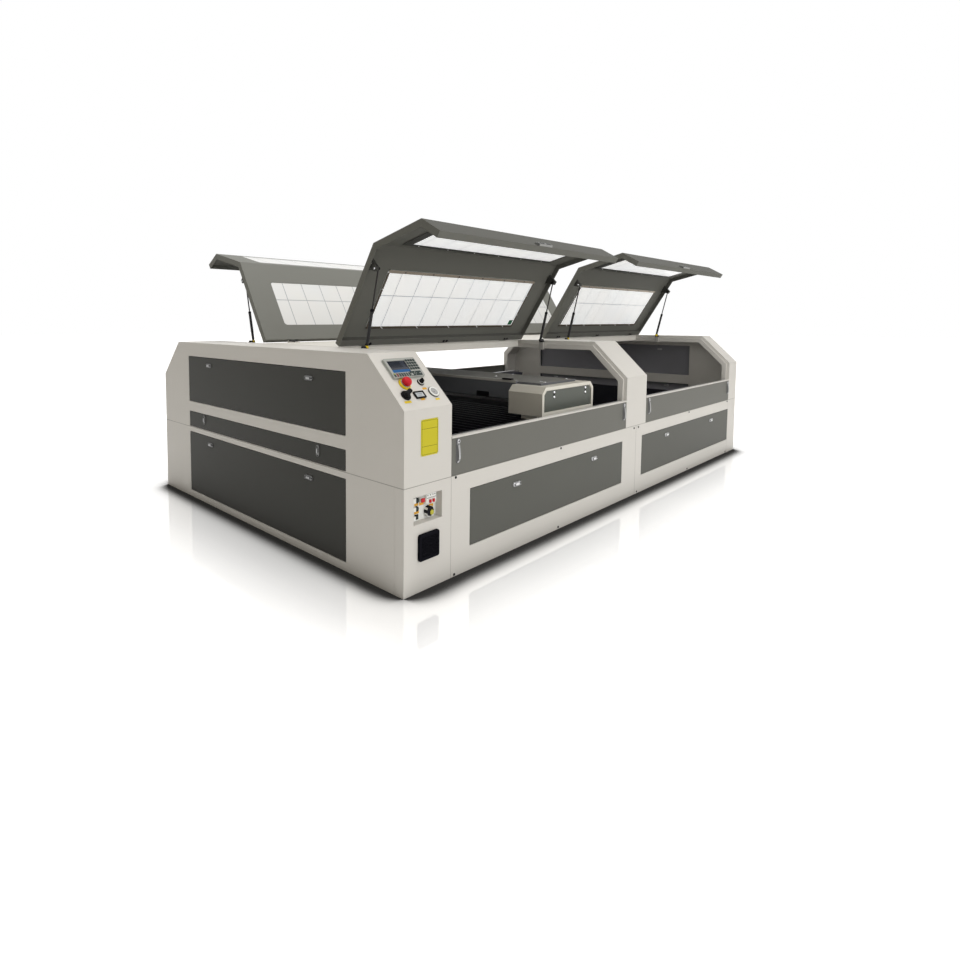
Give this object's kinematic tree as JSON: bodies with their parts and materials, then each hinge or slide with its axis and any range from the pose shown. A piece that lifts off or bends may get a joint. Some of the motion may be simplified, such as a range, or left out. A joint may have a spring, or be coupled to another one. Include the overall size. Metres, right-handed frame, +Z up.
{
  "type": "enclosed laser cutting machine",
  "caption": "Long enclosed laser cutting machine with gull-wing lids on gas struts, a rack-driven gantry over a slat bed, drop doors, access panels and a sloped control column.",
  "frame": {"origin": "on the floor at the middle of the machine's footprint", "axes": "+X along the length towards the plain end, away from the control column, +Z up, front towards -Y"},
  "size_m": [4.158, 2.328, 1.5931],
  "materials": {
    "white_paint": "fine-textured satin",
    "grey_paint": "fine-textured satin",
    "dark_paint": "fine-textured satin",
    "lid_paint": "satin",
    "interior_paint": "satin",
    "beige_paint": "satin",
    "acrylic": "clear sheet under white film",
    "black_metal": "semi-gloss",
    "bright_steel": "polished",
    "black_plastic": "moulded",
    "panel_grey": "moulded",
    "red_plastic": "moulded"
  },
  "bodies": {
    "frame": {"base_left": "white_paint", "base_right": "white_paint", "switch_column": "white_paint", "switch_panel": "panel_grey", "fan_grille": "black_plastic", "left_enclosure": "white_paint", "right_enclosure": "white_paint", "center_portal": "white_paint", "top_spine": "white_paint", "front_rail": "interior_paint", "rear_rail": "interior_paint", "slat_bed": "black_metal", "control_panel": "panel_grey", "panel_meter": "black_plastic"},
    "front_left_access_panel": {"front_left_access_panel": "grey_paint"},
    "front_right_access_panel": {"front_right_access_panel": "grey_paint"},
    "rear_left_access_panel": {"rear_left_access_panel": "grey_paint"},
    "rear_right_access_panel": {"rear_right_access_panel": "grey_paint"},
    "left_upper_panel": {"left_upper_panel": "dark_paint"},
    "left_slot_panel": {"left_slot_panel": "dark_paint"},
    "left_lower_panel": {"left_lower_panel": "dark_paint"},
    "right_upper_panel": {"right_upper_panel": "dark_paint"},
    "right_slot_panel": {"right_slot_panel": "dark_paint"},
    "right_lower_panel": {"right_lower_panel": "dark_paint"},
    "front_left_drop_door": {"front_left_drop_door": "grey_paint"},
    "front_right_drop_door": {"front_right_drop_door": "grey_paint"},
    "rear_left_drop_door": {"rear_left_drop_door": "grey_paint"},
    "rear_right_drop_door": {"rear_right_drop_door": "grey_paint"},
    "front_left_lid": {"front_left_lid": "lid_paint", "front_left_lid_window_sheet": "acrylic"},
    "front_left_strut_left_tube": {"front_left_strut_left_tube": "black_metal"},
    "front_left_strut_left_rod": {"front_left_strut_left_rod": "bright_steel"},
    "front_left_strut_right_tube": {"front_left_strut_right_tube": "black_metal"},
    "front_left_strut_right_rod": {"front_left_strut_right_rod": "bright_steel"},
    "front_right_lid": {"front_right_lid": "lid_paint", "front_right_lid_window_sheet": "acrylic"},
    "front_right_strut_left_tube": {"front_right_strut_left_tube": "black_metal"},
    "front_right_strut_left_rod": {"front_right_strut_left_rod": "bright_steel"},
    "front_right_strut_right_tube": {"front_right_strut_right_tube": "black_metal"},
    "front_right_strut_right_rod": {"front_right_strut_right_rod": "bright_steel"},
    "rear_left_lid": {"rear_left_lid": "lid_paint", "rear_left_lid_window_sheet": "acrylic"},
    "rear_left_strut_left_tube": {"rear_left_strut_left_tube": "black_metal"},
    "rear_left_strut_left_rod": {"rear_left_strut_left_rod": "bright_steel"},
    "rear_left_strut_right_tube": {"rear_left_strut_right_tube": "black_metal"},
    "rear_left_strut_right_rod": {"rear_left_strut_right_rod": "bright_steel"},
    "rear_right_lid": {"rear_right_lid": "lid_paint", "rear_right_lid_window_sheet": "acrylic"},
    "rear_right_strut_left_tube": {"rear_right_strut_left_tube": "black_metal"},
    "rear_right_strut_left_rod": {"rear_right_strut_left_rod": "bright_steel"},
    "rear_right_strut_right_tube": {"rear_right_strut_right_tube": "black_metal"},
    "rear_right_strut_right_rod": {"rear_right_strut_right_rod": "bright_steel"},
    "gantry": {"gantry_beam": "interior_paint", "gantry_front_housing": "beige_paint", "gantry_rear_housing": "beige_paint"},
    "head_carriage": {"head_carriage": "black_metal"},
    "laser_head": {"laser_head": "bright_steel"},
    "emergency_stop": {"emergency_stop": "red_plastic"},
    "key_switch": {"key_switch": "black_plastic"},
    "selector_knob": {"selector_knob": "black_plastic"}
  },
  "joints": [
    {"name": "front_left_access_panel_hinge", "type": "hinge", "parent": "frame", "child": "front_left_access_panel", "pos_m": [-0.88, -1.15, 0.115], "axis": [1, 0, 0], "range_deg": [0, 90]},
    {"name": "front_right_access_panel_hinge", "type": "hinge", "parent": "frame", "child": "front_right_access_panel", "pos_m": [1.025, -1.15, 0.115], "axis": [1, 0, 0], "range_deg": [0, 90]},
    {"name": "rear_left_access_panel_hinge", "type": "hinge", "parent": "frame", "child": "rear_left_access_panel", "pos_m": [-0.88, 1.15, 0.115], "axis": [-1, 0, 0], "range_deg": [0, 90]},
    {"name": "rear_right_access_panel_hinge", "type": "hinge", "parent": "frame", "child": "rear_right_access_panel", "pos_m": [1.025, 1.15, 0.115], "axis": [-1, 0, 0], "range_deg": [0, 90]},
    {"name": "left_upper_panel_hinge", "type": "hinge", "parent": "frame", "child": "left_upper_panel", "pos_m": [-2.07, 0, 0.624], "axis": [0, -1, 0], "range_deg": [0, 90]},
    {"name": "left_slot_panel_hinge", "type": "hinge", "parent": "frame", "child": "left_slot_panel", "pos_m": [-2.07, 0, 0.463], "axis": [0, -1, 0], "range_deg": [0, 90]},
    {"name": "left_lower_panel_hinge", "type": "hinge", "parent": "frame", "child": "left_lower_panel", "pos_m": [-2.07, 0, 0.044], "axis": [0, -1, 0], "range_deg": [0, 90]},
    {"name": "right_upper_panel_hinge", "type": "hinge", "parent": "frame", "child": "right_upper_panel", "pos_m": [2.07, 0, 0.624], "axis": [0, 1, 0], "range_deg": [0, 90]},
    {"name": "right_slot_panel_hinge", "type": "hinge", "parent": "frame", "child": "right_slot_panel", "pos_m": [2.07, 0, 0.463], "axis": [0, 1, 0], "range_deg": [0, 90]},
    {"name": "right_lower_panel_hinge", "type": "hinge", "parent": "frame", "child": "right_lower_panel", "pos_m": [2.07, 0, 0.044], "axis": [0, 1, 0], "range_deg": [0, 90]},
    {"name": "front_left_drop_door_hinge", "type": "hinge", "parent": "frame", "child": "front_left_drop_door", "pos_m": [-0.924, -1.15, 0.458], "axis": [1, 0, 0], "range_deg": [0, 90]},
    {"name": "front_right_drop_door_hinge", "type": "hinge", "parent": "frame", "child": "front_right_drop_door", "pos_m": [1.05, -1.15, 0.458], "axis": [1, 0, 0], "range_deg": [0, 90]},
    {"name": "rear_left_drop_door_hinge", "type": "hinge", "parent": "frame", "child": "rear_left_drop_door", "pos_m": [-0.924, 1.15, 0.458], "axis": [-1, 0, 0], "range_deg": [0, 90]},
    {"name": "rear_right_drop_door_hinge", "type": "hinge", "parent": "frame", "child": "rear_right_drop_door", "pos_m": [1.05, 1.15, 0.458], "axis": [-1, 0, 0], "range_deg": [0, 90]},
    {"name": "front_left_lid_hinge", "type": "hinge", "parent": "frame", "child": "front_left_lid", "pos_m": [-0.924, -0.347, 1.004], "axis": [1, 0, 0], "range_deg": [0, 59]},
    {"name": "front_left_strut_left_foot", "type": "hinge", "parent": "frame", "child": "front_left_strut_left_tube", "pos_m": [-1.735, -0.55, 0.999], "axis": [1, 0, 0], "range_deg": [0, 87]},
    {"name": "front_left_strut_left_slide", "type": "slide", "parent": "front_left_strut_left_tube", "child": "front_left_strut_left_rod", "axis": [0, -0.2185, 0.9758], "range_m": [-0.121, 0]},
    {"name": "front_left_strut_right_foot", "type": "hinge", "parent": "frame", "child": "front_left_strut_right_tube", "pos_m": [-0.113, -0.55, 0.999], "axis": [1, 0, 0], "range_deg": [0, 87]},
    {"name": "front_left_strut_right_slide", "type": "slide", "parent": "front_left_strut_right_tube", "child": "front_left_strut_right_rod", "axis": [0, -0.2185, 0.9758], "range_m": [-0.121, 0]},
    {"name": "front_right_lid_hinge", "type": "hinge", "parent": "frame", "child": "front_right_lid", "pos_m": [1.05, -0.347, 1.004], "axis": [1, 0, 0], "range_deg": [0, 59]},
    {"name": "front_right_strut_left_foot", "type": "hinge", "parent": "frame", "child": "front_right_strut_left_tube", "pos_m": [0.258, -0.55, 0.999], "axis": [1, 0, 0], "range_deg": [0, 87]},
    {"name": "front_right_strut_left_slide", "type": "slide", "parent": "front_right_strut_left_tube", "child": "front_right_strut_left_rod", "axis": [0, -0.2185, 0.9758], "range_m": [-0.121, 0]},
    {"name": "front_right_strut_right_foot", "type": "hinge", "parent": "frame", "child": "front_right_strut_right_tube", "pos_m": [1.842, -0.55, 0.999], "axis": [1, 0, 0], "range_deg": [0, 87]},
    {"name": "front_right_strut_right_slide", "type": "slide", "parent": "front_right_strut_right_tube", "child": "front_right_strut_right_rod", "axis": [0, -0.2185, 0.9758], "range_m": [-0.121, 0]},
    {"name": "rear_left_lid_hinge", "type": "hinge", "parent": "frame", "child": "rear_left_lid", "pos_m": [-0.924, 0.347, 1.004], "axis": [-1, 0, 0], "range_deg": [0, 59]},
    {"name": "rear_left_strut_left_foot", "type": "hinge", "parent": "frame", "child": "rear_left_strut_left_tube", "pos_m": [-1.735, 0.55, 0.999], "axis": [-1, 0, 0], "range_deg": [0, 87]},
    {"name": "rear_left_strut_left_slide", "type": "slide", "parent": "rear_left_strut_left_tube", "child": "rear_left_strut_left_rod", "axis": [0, 0.2185, 0.9758], "range_m": [-0.121, 0]},
    {"name": "rear_left_strut_right_foot", "type": "hinge", "parent": "frame", "child": "rear_left_strut_right_tube", "pos_m": [-0.113, 0.55, 0.999], "axis": [-1, 0, 0], "range_deg": [0, 87]},
    {"name": "rear_left_strut_right_slide", "type": "slide", "parent": "rear_left_strut_right_tube", "child": "rear_left_strut_right_rod", "axis": [0, 0.2185, 0.9758], "range_m": [-0.121, 0]},
    {"name": "rear_right_lid_hinge", "type": "hinge", "parent": "frame", "child": "rear_right_lid", "pos_m": [1.05, 0.347, 1.004], "axis": [-1, 0, 0], "range_deg": [0, 59]},
    {"name": "rear_right_strut_left_foot", "type": "hinge", "parent": "frame", "child": "rear_right_strut_left_tube", "pos_m": [0.258, 0.55, 0.999], "axis": [-1, 0, 0], "range_deg": [0, 87]},
    {"name": "rear_right_strut_left_slide", "type": "slide", "parent": "rear_right_strut_left_tube", "child": "rear_right_strut_left_rod", "axis": [0, 0.2185, 0.9758], "range_m": [-0.121, 0]},
    {"name": "rear_right_strut_right_foot", "type": "hinge", "parent": "frame", "child": "rear_right_strut_right_tube", "pos_m": [1.842, 0.55, 0.999], "axis": [-1, 0, 0], "range_deg": [0, 87]},
    {"name": "rear_right_strut_right_slide", "type": "slide", "parent": "rear_right_strut_right_tube", "child": "rear_right_strut_right_rod", "axis": [0, 0.2185, 0.9758], "range_m": [-0.121, 0]},
    {"name": "gantry_travel", "type": "slide", "parent": "frame", "child": "gantry", "axis": [1, 0, 0], "range_m": [-0.85, 2.15]},
    {"name": "carriage_travel", "type": "slide", "parent": "gantry", "child": "head_carriage", "axis": [0, 1, 0], "range_m": [-0.75, 0.75]},
    {"name": "head_lift", "type": "slide", "parent": "head_carriage", "child": "laser_head", "axis": [0, 0, 1], "range_m": [-0.01, 0.018]},
    {"name": "emergency_stop_push", "type": "slide", "parent": "frame", "child": "emergency_stop", "axis": [0, 0.7071, -0.7071], "range_m": [0, 0.006], "stiffness_N_per_m": 1500},
    {"name": "key_turn", "type": "hinge", "parent": "frame", "child": "key_switch", "pos_m": [-1.875, -1.05528, 0.86872], "axis": [0, -0.7071, 0.7071], "range_deg": [-90, 0]},
    {"name": "selector_turn", "type": "hinge", "parent": "frame", "child": "selector_knob", "pos_m": [-2.008, -1.09771, 0.82629], "axis": [0, -0.7071, 0.7071], "range_deg": [-45, 45]}
  ],
  "couplings": [
    {"joint": "front_left_strut_left_foot", "follows": "front_left_lid_hinge", "ratio": 1.4653},
    {"joint": "front_left_strut_left_slide", "follows": "front_left_lid_hinge", "m_per_rad": -0.11628},
    {"joint": "front_left_strut_right_foot", "follows": "front_left_lid_hinge", "ratio": 1.4653},
    {"joint": "front_left_strut_right_slide", "follows": "front_left_lid_hinge", "m_per_rad": -0.11628},
    {"joint": "front_right_strut_left_foot", "follows": "front_right_lid_hinge", "ratio": 1.4653},
    {"joint": "front_right_strut_left_slide", "follows": "front_right_lid_hinge", "m_per_rad": -0.11628},
    {"joint": "front_right_strut_right_foot", "follows": "front_right_lid_hinge", "ratio": 1.4653},
    {"joint": "front_right_strut_right_slide", "follows": "front_right_lid_hinge", "m_per_rad": -0.11628},
    {"joint": "rear_left_strut_left_foot", "follows": "rear_left_lid_hinge", "ratio": 1.4653},
    {"joint": "rear_left_strut_left_slide", "follows": "rear_left_lid_hinge", "m_per_rad": -0.11628},
    {"joint": "rear_left_strut_right_foot", "follows": "rear_left_lid_hinge", "ratio": 1.4653},
    {"joint": "rear_left_strut_right_slide", "follows": "rear_left_lid_hinge", "m_per_rad": -0.11628},
    {"joint": "rear_right_strut_left_foot", "follows": "rear_right_lid_hinge", "ratio": 1.4653},
    {"joint": "rear_right_strut_left_slide", "follows": "rear_right_lid_hinge", "m_per_rad": -0.11628},
    {"joint": "rear_right_strut_right_foot", "follows": "rear_right_lid_hinge", "ratio": 1.4653},
    {"joint": "rear_right_strut_right_slide", "follows": "rear_right_lid_hinge", "m_per_rad": -0.11628}
  ]
}
